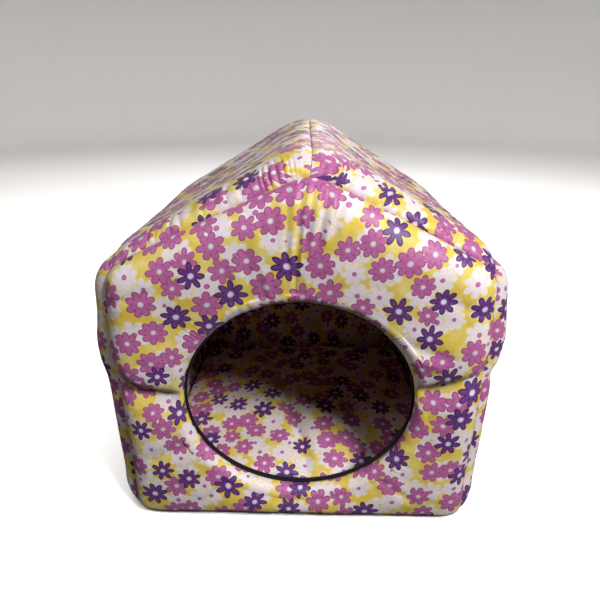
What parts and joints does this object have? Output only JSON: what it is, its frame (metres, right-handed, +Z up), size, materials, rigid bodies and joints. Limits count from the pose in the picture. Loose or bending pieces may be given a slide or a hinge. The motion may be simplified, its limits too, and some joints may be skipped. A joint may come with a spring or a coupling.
{
  "type": "padded pet house",
  "caption": "Gabled soft pet house of padded foam panels in a flower-printed cloth, with a round entrance, a waist fold and a floor cushion.",
  "frame": {"origin": "on the floor, under the middle of the house", "axes": "+Z up, the entrance faces -Y, +X to the right as seen from the front"},
  "size_m": [0.458, 0.4079, 0.4371],
  "materials": {
    "print_fabric": "smooth printed cloth in yellow, orchid pink, purple and white flowers, with a faint sheen",
    "cushion_fabric": "the same smooth flower-printed cloth, with soft creases",
    "base_fabric": "the same flower-printed cloth, flat underneath",
    "binding_tape": "black woven binding tape, matt"
  },
  "bodies": {
    "root": {"front_panel": "print_fabric", "back_panel": "print_fabric", "side_left": "print_fabric", "side_right": "print_fabric", "roof_left": "print_fabric", "roof_right": "print_fabric", "base_panel": "base_fabric", "floor_cushion": "cushion_fabric", "rim_binding": "binding_tape"}
  },
  "joints": []
}
